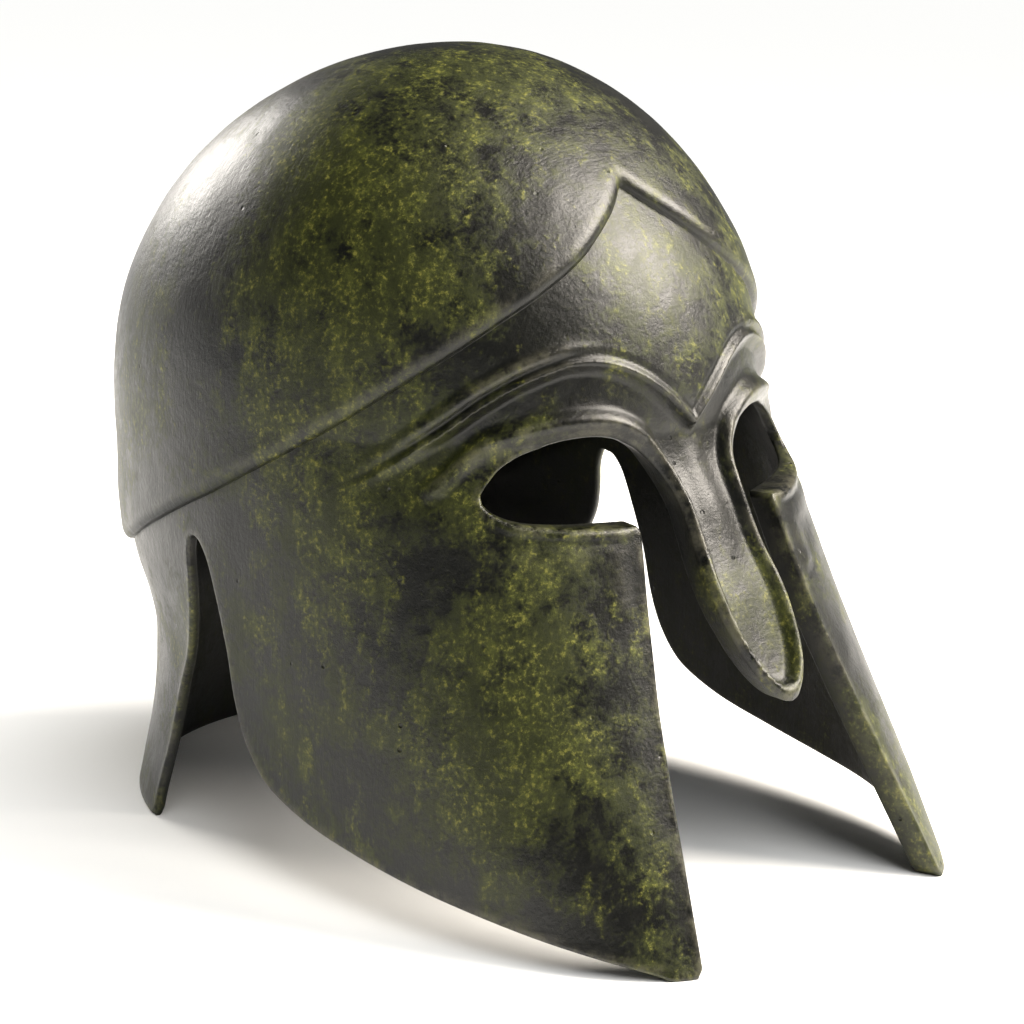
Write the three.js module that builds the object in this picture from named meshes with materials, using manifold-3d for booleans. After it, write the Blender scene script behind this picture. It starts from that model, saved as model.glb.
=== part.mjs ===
/*
 * Corinthian helmet, cast in bronze as one piece.
 *
 * Millimetres, +Z up. The helmet stands on the two cheek points and on the
 * lower edge of the neck guard, all at Z = 0. It faces -Y, and X = 0 is its
 * plane of symmetry.
 *
 * A place on the helmet is given by its bearing and its height. The bearing is
 * the angle about the upright axis of the skull, in degrees: 0 at the front,
 * 90 at the wearer's left (+X), 180 at the back.
 */
import * as THREE from "three";
import { mergeVertices } from "three/addons/utils/BufferGeometryUtils.js";
import Module from "manifold-3d";

// Driving dimensions.
const AXIS_Y = 19.4;         // how far the skull's axis lies behind the middle of the length
const SKULL_BASE = 150;       // height at which the dome of the skull begins
const SKULL_RISE = 114;       // dome height above that, before the skull is raised
const SKULL = { side: 100, front: 114.5, back: 132.4, lean: -4 };
const DOME = { side: 0.15, front: -0.22, back: -0.155 };  // fullness of the dome, 0 for an ellipse
const RAISE = 3.5;            // the skull stands this far proud of the forehead plate
const STEP = 1.6;             // height of the sloping step around the raised skull
const WALL = 3.8;             // general wall
const FRONT_WALL = 8.8;       // wall along the nasal and the cheeks' front edges
const BEAD = { rib: { width: 9, proud: 2.2 }, rim: { width: 7, proud: 1.6 } };
const BELOW = -12;            // cutting bodies start this far under the base
const CUT_RADII = [30, 110, 155, 420];  // cutting bodies run outward through these radii

// Level sections below the dome: half width at the side, reach to the front, squareness of the
// front corners (2 is an ellipse), reach to the back, half width of the nape.
const SECTIONS = [
  // height side front square back nape
  [150, 100.0, 114.8, 2.04, 132.4, 100.0],
  [142, 100.2, 117.2, 2.12, 132.4, 100.0],
  [130, 100.6, 123.4, 2.26, 132.2, 100.0],
  [120, 100.8, 127.0, 2.38, 132.0, 100.0],
  [105, 101.0, 131.7, 2.58, 131.5, 100.0],
  [90, 101.3, 137.2, 2.77, 130.0, 98.5],
  [75, 101.7, 143.5, 2.96, 123.0, 95.5],
  [60, 102.0, 150.4, 3.15, 119.5, 94.0],
  [30, 102.0, 165.7, 3.5, 122.5, 95.5],
  [0, 100.0, 182.2, 3.77, 127.0, 103.0],
].reverse();

// How far the nasal stands forward of the cheeks' surface, by height.
const NASAL = [[65, 14.5], [77, 12.5], [89, 10.3], [103, 7.2], [117, 2.9], [131, 0.8], [145, 0]];

// Bearings and heights of the lines on the wearer's left half.
const STEP_LINE = [
  [0, 225], [6, 218.5], [11.4, 212.6], [17.8, 205], [23, 199.5], [28.7, 193.5], [34, 188],
  [44.4, 176], [54.6, 164], [62, 155.5], [70, 147], [79, 138.5], [92, 127], [101, 120],
  [114, 110], [137, 93], [160, 84], [180, 81],
];
const RIB_LINE = [
  [0, 153.6], [3.1, 159.2], [7, 165.5], [10.6, 170.2], [14.1, 173.2], [17.6, 175], [21, 175.6],
  [24.5, 175], [31, 170.8], [37.7, 164], [44, 155.6], [50.8, 147], [58, 139], [66, 131.5],
];
const EYE_TOP = [
  [37.9, 136], [36.6, 139.5], [34.6, 143.7], [31.4, 147.4], [28, 149.6], [24.9, 151.2],
  [21.7, 152], [18.3, 152], [14.8, 150.4], [11.5, 146.6], [9, 141], [7.6, 135.5], [6.9, 130],
  [6.7, 124], [6.7, 117], [6.9, 110], [7, 103], [6.7, 96], [6, 89], [4.9, 82], [3.2, 75.5],
  [1.4, 71.5], [0, 70.5],
];
const EYE_LOW = [[15, 125.6], [20.8, 126], [26.6, 126.6], [32.3, 128], [35.8, 130.4], [37.6, 133.2]];
const RIM_LINE = [
  [46, 137], [43, 141.5], [38.6, 148.5], [34.5, 152.7], [24.9, 156.6], [16.6, 156.6], [10.8, 151.2],
  [7.2, 142], [5.9, 133], [5.6, 124], [5.6, 114], [5.9, 104], [5.6, 95], [4.9, 87.5], [3.6, 80.5],
  [1.8, 75.4], [0, 74],
];
const CHEEK_FRONT = [
  [18.3, BELOW], [18.3, 1.5], [18.2, 10.6], [17.6, 40], [16.8, 70], [16, 87], [15.4, 101],
  [14.7, 116], [14.4, 124],
];
const CHEEK_LOW = [
  [18.6, 1.4], [19.2, -1.4], [21, -1.4], [22.8, 1.6], [27.8, 5.6], [33.2, 8.9], [39.3, 12],
  [46.8, 15], [56.5, 19], [67, 23.8], [75.6, 30], [80.2, 35.8], [84.3, 45.6], [87.1, 58],
  [89.3, 74.4], [92.4, 90], [95.4, 102.5], [98.2, 108.6],
];
const NECK_SIDE = [
  [101, 109], [102, 103], [102, 93], [102.8, 83], [106, 71], [110, 61], [113.8, 52.4], [116.4, 44],
  [118.7, 32.7], [120, 20.4], [120.2, 9], [119.7, 1], [119.7, BELOW],
];

/** Smooth rise from 0 to 1 as t goes from 0 to 1. */
function ease(t) {
  const u = Math.min(Math.max(t, 0), 1);
  return u * u * (3 - 2 * u);
}

/** Smooth curve through rows of [x, ...values], read at x in column k. */
function read(rows, x, k = 1) {
  const last = rows.length - 1;
  const at = Math.min(Math.max(x, rows[0][0]), rows[last][0]);
  let i = 0;
  while (i < last - 1 && rows[i + 1][0] < at) i += 1;
  const slope = (j) => {
    const lo = rows[Math.max(j - 1, 0)];
    const hi = rows[Math.min(j + 1, last)];
    return (hi[k] - lo[k]) / (hi[0] - lo[0]);
  };
  const width = rows[i + 1][0] - rows[i][0];
  const t = (at - rows[i][0]) / width;
  return rows[i][k] * (2 * t ** 3 - 3 * t ** 2 + 1) + slope(i) * width * (t ** 3 - 2 * t ** 2 + t)
    + rows[i + 1][k] * (3 * t ** 2 - 2 * t ** 3) + slope(i + 1) * width * (t ** 3 - t ** 2);
}

/** Point of the plain surface, under the raised skull and the beads. */
function surface(bearing, height) {
  const angle = THREE.MathUtils.degToRad(bearing);
  const s = Math.min(Math.max((height - SKULL_BASE) / SKULL_RISE, 0), 1);
  const round = Math.sqrt(1 - s * s);
  const inDome = height > SKULL_BASE;
  const blend = 1 - ease((height - SKULL_BASE) / 25);
  const full = (k) => round * (1 + DOME[k] * s * s);
  const side = inDome ? SKULL.side * full("side") : read(SECTIONS, height, 1);
  const front = inDome ? (SKULL.front + 0.3 * blend) * full("front") : read(SECTIONS, height, 2);
  const square = inDome ? 2 + 0.04 * blend : read(SECTIONS, height, 3);
  const back = inDome ? SKULL.back * full("back") : read(SECTIONS, height, 4);
  const nape = inDome ? side : read(SECTIONS, height, 5);
  const ahead = Math.cos(angle) > 0;
  const turn = ease((Math.abs(bearing) - 88) / 30);
  const wide = Math.max(ahead ? side : side * (1 - turn) + nape * turn, 1e-6);
  const deep = Math.max(ahead ? front : back, 1e-6);
  const power = ahead ? square : 2.02;
  const radius = ((Math.abs(Math.sin(angle)) / wide) ** power
    + (Math.abs(Math.cos(angle)) / deep) ** power) ** (-1 / power);
  const x = radius * Math.sin(angle);
  let y = SKULL.lean * s - radius * Math.cos(angle);
  if (ahead) y -= read(NASAL, height) * (1 - ease((Math.abs(x) - 14) / 14)) * (height < 145 ? 1 : 0);
  return new THREE.Vector3(x, y, height);
}

/** Outward unit normal of the plain surface. */
function normal(bearing, height) {
  const top = SKULL_BASE + SKULL_RISE - 0.01;
  const high = Math.min(height + 0.3, top);
  const across = surface(bearing + 0.1, height).sub(surface(bearing - 0.1, height));
  const up = surface(bearing, high).sub(surface(bearing, high - 0.6));
  return across.cross(up).normalize();
}

/** Point at a distance outside the plain surface, or inside it when negative. */
function offset(bearing, height, distance) {
  return surface(bearing, height).addScaledVector(normal(bearing, height), distance);
}

/** Height of the step around the raised skull, at a bearing. */
function stepHeight(bearing) {
  return read(STEP_LINE, Math.abs(bearing));
}

/** Depth of the inside of the wall below the plain surface. */
function wallDepth(bearing, height) {
  const nearFront = 1 - ease((Math.abs(bearing) - 17) / 22);
  const belowBrow = 1 - ease((height - 138) / 26);
  const raised = ease((height - stepHeight(bearing) + 6) / 12);
  return WALL + (FRONT_WALL - WALL) * nearFront * belowBrow - (RAISE - 0.6) * raised;
}

/** Bearings of the grid columns: close together at the face, wider around the back. */
function columns(fine, coarse) {
  const half = [];
  for (let b = 0; b < 20; b += fine) half.push(b);
  for (let b = 20; b < 180; b += coarse) half.push(b);
  const other = half.slice(1).map((b) => -b).reverse();
  return [...other, ...half, 180];
}

/** Closed body under a dome: rings of points from the bottom up, then the crown point. */
function domeGeometry(rings, crown) {
  const count = rings[0].length;
  const points = rings.flat();
  const bottom = points.length;
  const centre = rings[0].reduce((sum, p) => sum.add(p), new THREE.Vector3()).divideScalar(count);
  points.push(centre, crown);
  const faces = [];
  for (let j = 0; j < count; j += 1) {
    const k = (j + 1) % count;
    faces.push(bottom, k, j);
    for (let i = 0; i < rings.length - 1; i += 1) {
      const [a, b, c, d] = [i * count + j, i * count + k, (i + 1) * count + k, (i + 1) * count + j];
      faces.push(a, b, c, a, c, d);
    }
    const top = (rings.length - 1) * count;
    faces.push(top + j, top + k, bottom + 1);
  }
  return meshGeometry(points, faces);
}

/** Geometry of a list of points and a list of triangle corners. */
function meshGeometry(points, faces) {
  const geometry = new THREE.BufferGeometry();
  geometry.setAttribute("position", new THREE.Float32BufferAttribute(points.flatMap((p) => p.toArray()), 3));
  geometry.setIndex(faces);
  return geometry;
}

/** Outside of the helmet down to the base, with the skull raised above the step line. */
function outsideGeometry() {
  const bearings = columns(2.5, 6);
  const rings = [];
  const low = 18;
  const high = 12;
  for (let i = 0; i <= low; i += 1) {
    rings.push(bearings.map((b) => offset(b, (stepHeight(b) - STEP / 2) * (i / low), 0)));
  }
  for (let i = 0; i < high; i += 1) {
    const rise = Math.sin((i / high) * (Math.PI / 2));
    rings.push(bearings.map((b) => {
      const start = stepHeight(b) + STEP / 2;
      return offset(b, start + (SKULL_BASE + SKULL_RISE - start) * rise, RAISE);
    }));
  }
  return domeGeometry(rings, new THREE.Vector3(0, SKULL.lean, SKULL_BASE + SKULL_RISE + RAISE));
}

/** Hollow of the helmet, open at the bottom. */
function insideGeometry() {
  const bearings = columns(5, 9);
  const top = SKULL_BASE + SKULL_RISE;
  const depthAtTop = WALL - (RAISE - 0.6);
  const rings = [bearings.map((b) => offset(b, 0, -wallDepth(b, 0)).setZ(BELOW))];
  const low = 12;
  const high = 9;
  for (let i = 0; i <= low; i += 1) {
    rings.push(bearings.map((b) => {
      const h = SKULL_BASE * (i / low);
      return offset(b, h, -wallDepth(b, h)).setZ(h);
    }));
  }
  for (let i = 1; i < high; i += 1) {
    const h = SKULL_BASE + SKULL_RISE * Math.sin((i / high) * (Math.PI / 2));
    rings.push(bearings.map((b) => offset(b, h, -wallDepth(b, h))));
  }
  return domeGeometry(rings, new THREE.Vector3(0, SKULL.lean, top - depthAtTop));
}

/** Points evenly spaced along a smooth line through [bearing, height] rows. */
function trace(rows, count) {
  return new THREE.SplineCurve(rows.map(([b, h]) => new THREE.Vector2(b, h))).getSpacedPoints(count);
}

/** The same line on the other half of the helmet, run backwards. */
function mirrored(line) {
  return line.map((p) => new THREE.Vector2(-p.x, p.y)).reverse();
}

/** Wedge that cuts straight out from the upright axis through a closed line on the surface. */
function cutterGeometry(line) {
  const loop = line.filter((p, i) => p.distanceTo(line[(i + 1) % line.length]) > 0.05);
  if (THREE.ShapeUtils.isClockWise(loop)) loop.reverse();
  const caps = THREE.ShapeUtils.triangulateShape(loop, []);
  const n = loop.length;
  const points = CUT_RADII.flatMap((radius) => loop.map((p) => {
    const angle = THREE.MathUtils.degToRad(p.x);
    return new THREE.Vector3(radius * Math.sin(angle), -radius * Math.cos(angle), p.y);
  }));
  const outer = (CUT_RADII.length - 1) * n;
  const faces = caps.flatMap(([a, b, c]) => [a + outer, b + outer, c + outer, c, b, a]);
  for (let base = 0; base < outer; base += n) {
    for (let i = 0; i < n; i += 1) {
      const k = (i + 1) % n;
      const [a, b, c, d] = [base + i, base + k, base + k + n, base + i + n];
      if (loop[i].x + loop[k].x > 0) faces.push(a, b, c, a, c, d);
      else faces.push(a, b, d, b, c, d);
    }
  }
  return meshGeometry(points, faces);
}

/** Raised bead that follows a line on the surface. */
function beadGeometry(line, { width, proud }) {
  const section = [[-0.5, -2.4], [0.5, -2.4], [0.5, 0.1], [0.22, 1], [-0.22, 1], [-0.5, 0.1]];
  const path = line.map((p) => surface(p.x, p.y));
  const points = [];
  path.forEach((p, i) => {
    const along = path[Math.min(i + 1, path.length - 1)].clone().sub(path[Math.max(i - 1, 0)]).normalize();
    const out = normal(line[i].x, line[i].y);
    const across = out.clone().cross(along).normalize();
    for (const [u, v] of section) {
      const rise = v > 0.5 ? v * proud : v;
      points.push(p.clone().addScaledVector(across, u * width).addScaledVector(out, rise));
    }
  });
  const n = section.length;
  const end = (path.length - 1) * n;
  const faces = [];
  for (let i = 0; i < path.length - 1; i += 1) {
    for (let j = 0; j < n; j += 1) {
      const k = (j + 1) % n;
      const [a, b, c, d] = [i * n + j, i * n + k, (i + 1) * n + k, (i + 1) * n + j];
      faces.push(a, b, c, a, c, d);
    }
  }
  for (let j = 1; j < n - 1; j += 1) faces.push(0, j + 1, j, end, end + j, end + j + 1);
  return meshGeometry(points, faces);
}

const wasm = await Module();
wasm.setup();

/** Solid of a closed geometry. */
function solid(geometry) {
  geometry.deleteAttribute("normal");
  geometry.deleteAttribute("uv");
  const merged = mergeVertices(geometry, 1e-4);
  return new wasm.Manifold(new wasm.Mesh({
    numProp: 3,
    vertProperties: new Float32Array(merged.attributes.position.array),
    triVerts: new Uint32Array(merged.index.array),
  }));
}

/** Geometry of a finished solid, moved so that the middle of its length is at Y = 0. */
function geometryOf(body) {
  const mesh = body.getMesh();
  const fine = new THREE.BufferGeometry();
  fine.setAttribute("position", new THREE.BufferAttribute(mesh.vertProperties, 3));
  fine.setIndex(new THREE.BufferAttribute(mesh.triVerts, 1));
  fine.translate(0, AXIS_Y, 0);
  // Corners closer together than this are one corner, and the slivers between them go.
  const merged = mergeVertices(fine, 0.02);
  const corners = Array.from(merged.index.array);
  const faces = [];
  for (let i = 0; i < corners.length; i += 3) {
    const [a, b, c] = corners.slice(i, i + 3);
    if (a !== b && b !== c && c !== a) faces.push(a, b, c);
  }
  merged.setIndex(faces);
  merged.computeVertexNormals();
  return merged;
}

const eyeAndSlot = [...trace(CHEEK_FRONT, 16), ...trace(EYE_LOW, 12), ...trace(EYE_TOP, 48)];
const frontOpening = [...eyeAndSlot, ...mirrored(eyeAndSlot)];
const corner = [new THREE.Vector2(17, BELOW), new THREE.Vector2(17, 3.4), new THREE.Vector2(18.3, 3.2)];
const belowCheek = [...corner, ...trace(CHEEK_LOW, 32), ...trace(NECK_SIDE, 18)];

const ribHalf = trace(RIB_LINE, 22);
const ribLine = [...mirrored(ribHalf), ...ribHalf.slice(1)];
const rimHalf = trace(RIM_LINE, 34);
const rimLine = [...rimHalf, ...mirrored(rimHalf).slice(1)];

let body = solid(outsideGeometry())
  .add(solid(beadGeometry(ribLine, BEAD.rib)))
  .add(solid(beadGeometry(rimLine, BEAD.rim)));
for (const line of [frontOpening, belowCheek, mirrored(belowCheek)]) {
  body = body.subtract(solid(cutterGeometry(line)));
}
body = body.subtract(solid(insideGeometry()));

const helmet = new THREE.Group();
const bronze = new THREE.MeshStandardMaterial({ color: 0x3a3b2a, roughness: 0.5, metalness: 0.65 });
const shell = new THREE.Mesh(geometryOf(body), bronze);
shell.name = "helmet_shell";
helmet.add(shell);

export default helmet;
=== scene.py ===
"""Corinthian helmet in patinated cast bronze, dressed over its CAD frame.

A place on the helmet is a bearing and a height. The bearing is the angle in degrees about the
upright axis of the skull: 0 at the front (-Y), 90 at the wearer's left (+X), 180 at the back.
Lengths are millimetres until a mesh is made, and metres from then on.
"""

import logging
import math
from dataclasses import dataclass
from enum import Enum, IntEnum

import bpy
import numpy as np
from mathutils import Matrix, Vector


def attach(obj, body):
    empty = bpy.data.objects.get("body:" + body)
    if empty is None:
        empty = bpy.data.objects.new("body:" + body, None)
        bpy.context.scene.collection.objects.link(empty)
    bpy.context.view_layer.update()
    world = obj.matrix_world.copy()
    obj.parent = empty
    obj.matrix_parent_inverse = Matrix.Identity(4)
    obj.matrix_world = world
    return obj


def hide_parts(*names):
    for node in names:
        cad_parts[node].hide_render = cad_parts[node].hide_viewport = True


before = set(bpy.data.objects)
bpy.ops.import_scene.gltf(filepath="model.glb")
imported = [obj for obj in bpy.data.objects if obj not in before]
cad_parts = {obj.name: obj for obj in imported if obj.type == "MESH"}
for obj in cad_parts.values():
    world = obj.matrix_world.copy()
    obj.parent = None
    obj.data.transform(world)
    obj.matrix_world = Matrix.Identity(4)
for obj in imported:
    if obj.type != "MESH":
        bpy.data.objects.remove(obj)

LOG = logging.getLogger("corinthian_helmet")

Array = np.ndarray
Rows = tuple[tuple[float, ...], ...]
Socket = bpy.types.NodeSocket

NOISE, MATH, RANGE = "ShaderNodeTexNoise", "ShaderNodeMath", "ShaderNodeMapRange"
MULTIPLY, MULTIPLY_ADD = {"operation": "MULTIPLY"}, {"operation": "MULTIPLY_ADD"}
SMOOTH = {"interpolation_type": "SMOOTHSTEP"}

MM = 0.001
BELOW = -12.0  # openings in the lower edge are drawn on this far under the base

# Level sections below the dome: half width at the side, reach to the front, squareness of the
# front corners (2 is an ellipse), reach to the back, half width of the nape.
SECTIONS: Rows = (
    # height, side, front, square, back, nape
    (0, 100.0, 182.2, 3.77, 127.0, 103.0),
    (30, 102.0, 165.7, 3.5, 122.5, 95.5),
    (60, 102.0, 150.4, 3.15, 119.5, 94.0),
    (75, 101.7, 143.5, 2.96, 123.0, 95.5),
    (90, 101.3, 137.2, 2.77, 130.0, 98.5),
    (105, 101.0, 131.7, 2.58, 131.5, 100.0),
    (120, 100.8, 127.0, 2.38, 132.0, 100.0),
    (130, 100.6, 123.4, 2.26, 132.2, 100.0),
    (142, 100.2, 117.2, 2.12, 132.4, 100.0),
    (150, 100.0, 114.8, 2.04, 132.4, 100.0),
)

# How far the nasal stands forward of the cheeks' surface, and how deep its face is hollowed.
NASAL: Rows = ((65, 14.5), (77, 12.5), (89, 10.3), (103, 7.2), (117, 2.9), (131, 0.8), (145, 0))
NASAL_HOLLOW: Rows = ((70, 2.6), (82, 3.0), (96, 2.4), (110, 1.9), (125, 2.0), (140, 2.6))

# Lines on one half of the helmet, as bearing and height.
STEP_LINE: Rows = (
    (0, 225), (6, 218.5), (11.4, 212.6), (17.8, 205), (23, 199.5), (28.7, 193.5), (34, 188),
    (44.4, 176), (54.6, 164), (62, 155.5), (70, 147), (79, 138.5), (92, 127), (101, 120),
    (114, 110), (137, 93), (160, 84), (180, 81),
)
BROW_LINE: Rows = (
    (0, 153.6), (3.1, 159.2), (7, 165.5), (10.6, 170.2), (14.1, 173.2), (17.6, 175), (21, 175.6),
    (24.5, 175), (31, 170.8), (37.7, 164), (44, 155.6), (50.8, 147), (58, 139), (66, 131.5),
)
EYE_TOP: Rows = (
    (37.9, 136), (36.6, 139.5), (34.6, 143.7), (31.4, 147.4), (28, 149.6), (24.9, 151.2),
    (21.7, 152), (18.3, 152), (14.8, 150.4), (11.5, 146.6), (9, 141), (7.6, 135.5), (6.9, 130),
    (6.7, 124), (6.7, 117), (6.9, 110), (7, 103), (6.7, 96), (6, 89), (4.9, 82), (3.2, 75.5),
    (1.4, 71.5), (0, 70.5),
)
EYE_LOW: Rows = (
    (15, 125.6), (20.8, 126), (26.6, 126.6), (32.3, 128), (35.8, 130.4), (37.6, 133.2),
)
RIM_LINE: Rows = (
    (46, 137), (43, 141.5), (38.6, 148.5), (34.5, 152.7), (24.9, 156.6), (16.6, 156.6),
    (10.8, 151.2), (7.2, 142), (5.9, 133), (5.6, 124), (5.6, 114), (5.9, 104), (5.6, 95),
    (4.9, 87.5), (3.6, 80.5), (1.8, 75.4), (0, 74),
)
CHEEK_FRONT: Rows = (
    (18.3, BELOW), (18.3, 1.5), (18.2, 10.6), (17.6, 40), (16.8, 70), (16, 87), (15.4, 101),
    (14.7, 116), (14.4, 124),
)
CHEEK_LOW: Rows = (
    (18.6, 1.4), (19.2, -1.4), (21, -1.4), (22.8, 1.6), (27.8, 5.6), (33.2, 8.9), (39.3, 12),
    (46.8, 15), (56.5, 19), (67, 23.8), (75.6, 30), (80.2, 35.8), (84.3, 45.6), (87.1, 58),
    (89.3, 74.4), (92.4, 90), (95.4, 102.5), (98.2, 108.6),
)
NECK_SIDE: Rows = (
    (101, 109), (102, 103), (102, 93), (102.8, 83), (106, 71), (110, 61), (113.8, 52.4),
    (116.4, 44), (118.7, 32.7), (120, 20.4), (120.2, 9), (119.7, 1), (119.7, BELOW),
)


class Field(IntEnum):
    """Columns of the values that a sheet keeps for each of its points."""

    BEARING = 0
    HEIGHT = 1
    EDGE = 2  # distance in from the nearest opening or from the base
    BROW = 3  # distance above the brow line, negative below it
    RIM = 4  # distance from the crest of the eye's rim, negative towards the opening
    STEP = 5  # height above the step line around the skull


class Place(Enum):
    """Where a light stands, as its bearing from the front and its height angle, in degrees."""

    KEY = (48.0, 42.0)
    SIDE = (178.0, 22.0)
    SKY = (20.0, 58.0)


def ease(t: Array) -> Array:
    """Return the smooth rise 3 t^2 - 2 t^3, held at 0 below t = 0 and at 1 above t = 1."""
    u = np.clip(t, 0.0, 1.0)
    return u * u * (3.0 - 2.0 * u)


def hump(x: Array, centre: float, half_width: Array | float) -> Array:
    """Return a smooth hump (1 - u^2)^2, where u is the distance from the centre in half widths."""
    u = np.clip((x - centre) / half_width, -1.0, 1.0)
    return (1.0 - u * u) ** 2


def linear(colour: str) -> tuple[float, float, float, float]:
    """Turn an sRGB hex colour into linear red, green, blue and a full alpha.

    Args:
        colour: six hex digits after a hash sign.

    Returns:
        The four linear values.
    """
    parts = [int(colour[i : i + 2], 16) / 255.0 for i in (1, 3, 5)]
    low_high = [c / 12.92 if c <= 0.04045 else ((c + 0.055) / 1.055) ** 2.4 for c in parts]
    return (*low_high, 1.0)


def read(rows: Rows, x: Array, column: int = 1) -> Array:
    """Read a smooth curve through rows of x and values.

    Between two rows it is the cubic that has, at each row, the slope from the row before to the
    row after. Outside the rows it keeps the end value.

    Args:
        rows: rows in the order of their first number.
        x: where the curve is read.
        column: which number of each row is read.

    Returns:
        The values, in the shape of x.
    """
    table = np.asarray(rows, float)
    knots, values = table[:, 0], table[:, column]
    before = np.maximum(np.arange(len(knots)) - 1, 0)
    after = np.minimum(np.arange(len(knots)) + 1, len(knots) - 1)
    slopes = (values[after] - values[before]) / (knots[after] - knots[before])
    at = np.clip(x, knots[0], knots[-1])
    i = np.clip(np.searchsorted(knots, at, side="left") - 1, 0, len(knots) - 2)
    width = knots[i + 1] - knots[i]
    t = (at - knots[i]) / width
    rise = 3 * t**2 - 2 * t**3
    ends = values[i] * (1 - rise) + values[i + 1] * rise
    start_slope = slopes[i] * width * (t**3 - 2 * t**2 + t)
    return ends + start_slope + slopes[i + 1] * width * (t**3 - t**2)


def trace(rows: Rows, steps: int = 14) -> Array:
    """Return points on a smooth line through bearing and height rows.

    Each stretch is the Catmull-Rom cubic of its two ends and their neighbours.

    Args:
        rows: the places that the line passes through.
        steps: points for each stretch.

    Returns:
        An array of bearings and heights.
    """
    knots = np.asarray(rows, float)
    padded = np.vstack([knots[:1], knots, knots[-1:]])
    t = np.linspace(0.0, 1.0, steps, endpoint=False)[None, :, None]
    a, b, c, d = (padded[k : len(padded) - 3 + k, None, :] for k in range(4))
    slope_b, slope_c = (c - a) / 2.0, (d - b) / 2.0
    cubic = (2 * b - 2 * c + slope_b + slope_c) * t**3
    square = (3 * c - 3 * b - 2 * slope_b - slope_c) * t**2
    line = cubic + square + slope_b * t + b
    return np.vstack([line.reshape(-1, 2), knots[-1:]])


def distance_to(points: Array, line: Array) -> Array:
    """Return the shortest distance from each point to a line of straight stretches.

    The nearest corner of the line is found first, then the two stretches that meet there.

    Args:
        points: places in space.
        line: corners of the line, in order.

    Returns:
        One distance for each point.
    """
    stretch = np.diff(line, axis=0)
    length_squared = np.maximum((stretch**2).sum(axis=1), 1e-12)
    found = np.full(len(points), np.inf)
    for start in range(0, len(points), 4000):
        some = points[start : start + 4000]
        near = np.argmin((line**2).sum(axis=1) - 2.0 * some @ line.T, axis=1)
        for k in (np.maximum(near - 1, 0), np.minimum(near, len(stretch) - 1)):
            gap = some - line[k]
            t = np.clip((gap * stretch[k]).sum(axis=1) / length_squared[k], 0.0, 1.0)
            away = np.linalg.norm(gap - t[:, None] * stretch[k], axis=1)
            found[start : start + 4000] = np.minimum(found[start : start + 4000], away)
    return found


def within(loop: Array, places: Array) -> Array:
    """Tell which places lie inside a closed line.

    A place is inside where a level ray from it crosses the line an odd number of times.

    Args:
        loop: bearings and heights of the line's corners.
        places: bearings and heights to test.

    Returns:
        One truth value for each place.
    """
    start, end = loop, np.roll(loop, -1, axis=0)
    rise = np.where(end[:, 1] == start[:, 1], 1.0, end[:, 1] - start[:, 1])
    inside = np.zeros(len(places), bool)
    for first in range(0, len(places), 4000):
        bearing = places[first : first + 4000, :1]
        height = places[first : first + 4000, 1:2]
        spans = (start[:, 1] > height) != (end[:, 1] > height)
        crossing = start[:, 0] + (height - start[:, 1]) * (end[:, 0] - start[:, 0]) / rise
        inside[first : first + 4000] = (spans & (bearing < crossing)).sum(axis=1) % 2 == 1
    return inside


def spaced(*stretches: tuple[float, float, float]) -> Array:
    """Return numbers from start up to, but without, stop in steps of size, for each stretch."""
    return np.concatenate([np.arange(start, stop - 1e-6, size) for start, stop, size in stretches])


def both_ways(half: Array) -> Array:
    """Return bearings right round the helmet from those of one half, 0 to below 180."""
    return np.concatenate([[-180.0], -half[:0:-1], half])


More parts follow.
